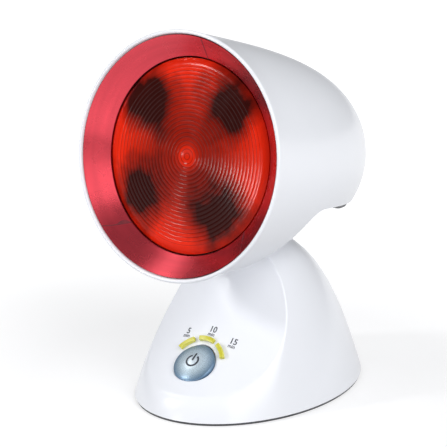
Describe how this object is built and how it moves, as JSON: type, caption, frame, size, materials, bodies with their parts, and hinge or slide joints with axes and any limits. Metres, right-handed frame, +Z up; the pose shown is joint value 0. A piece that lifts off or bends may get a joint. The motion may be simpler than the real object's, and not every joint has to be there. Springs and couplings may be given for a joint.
{
  "type": "infrared heat lamp",
  "caption": "Table-top heat lamp: a tilting round shade with a recessed red reflector lamp, on a domed base with a push button and timer windows.",
  "frame": {"origin": "on the table, under the middle of the part's outline", "axes": "-Y the way the lamp faces, +X the lamp's own left seen from behind its head, +Z up"},
  "size_m": [0.1544, 0.1821, 0.2441],
  "materials": {
    "white_shell": "glossy",
    "dark_plastic": "matte",
    "black_glass": "glossy",
    "rubber": "matte",
    "steel": "satin",
    "brass": "satin",
    "circuit_board": "satin",
    "green_plastic": "satin",
    "amber_plastic": "glossy",
    "red_glass": "glossy",
    "clear_glass": "glossy",
    "silver_blue": "satin",
    "crimson_foil": "polished",
    "ceramic": "glazed"
  },
  "bodies": {
    "base": {"base_shell": "white_shell", "base_plate": "dark_plastic", "rubber_foot_1": "rubber", "rubber_foot_2": "rubber", "rubber_foot_3": "rubber", "rubber_foot_4": "rubber", "plate_screw_1": "steel", "plate_screw_2": "steel", "plate_screw_3": "steel", "cord_gland": "dark_plastic", "hinge_bracket": "steel", "bracket_screw_1": "steel", "bracket_screw_2": "steel", "hinge_pin": "steel", "detent_leaf": "steel", "leaf_rivet": "steel", "timer_window_05": "amber_plastic", "timer_window_10": "amber_plastic", "timer_window_15": "amber_plastic", "timer_board": "circuit_board", "board_screw_1": "steel", "board_screw_2": "steel", "push_switch": "dark_plastic", "timer_led_1": "amber_plastic", "timer_led_2": "amber_plastic", "timer_led_3": "amber_plastic", "supply_board": "circuit_board", "supply_screw_1": "steel", "supply_screw_2": "steel", "relay": "dark_plastic", "film_capacitor": "amber_plastic", "fuse": "steel", "terminal_block": "green_plastic"},
    "button": {"button_cap": "silver_blue", "switch_plunger": "dark_plastic"},
    "head": {"head_shell": "white_shell", "vent_cover": "dark_plastic", "reflective_liner": "crimson_foil", "liner_clip_1": "steel", "liner_clip_2": "steel", "liner_clip_3": "steel", "lamp_lens": "red_glass", "lamp_reflector": "red_glass", "lamp_stem": "clear_glass", "filament": "steel", "lamp_cap": "brass", "cap_insulator": "black_glass", "lamp_contact": "brass", "spring_contact": "brass", "lamp_holder": "ceramic", "holder_sleeve": "brass", "holder_carrier": "steel", "carrier_screw_1": "steel", "carrier_screw_2": "steel", "holder_bolt": "steel", "hinge_arm": "white_shell", "flange_screw_1": "steel", "flange_screw_2": "steel", "detent_disc": "steel", "hinge_bush": "brass"}
  },
  "joints": [
    {"name": "head_tilt", "type": "hinge", "parent": "base", "child": "head", "pos_m": [0, 0.01, 0.084], "axis": [-1, 0, 0], "range_deg": [-10, 30]},
    {"name": "button_press", "type": "slide", "parent": "base", "child": "button", "axis": [0, 0.594, -0.8045], "range_m": [0, 0.0015], "stiffness_N_per_m": 1000, "springref_m": -0.0005}
  ]
}
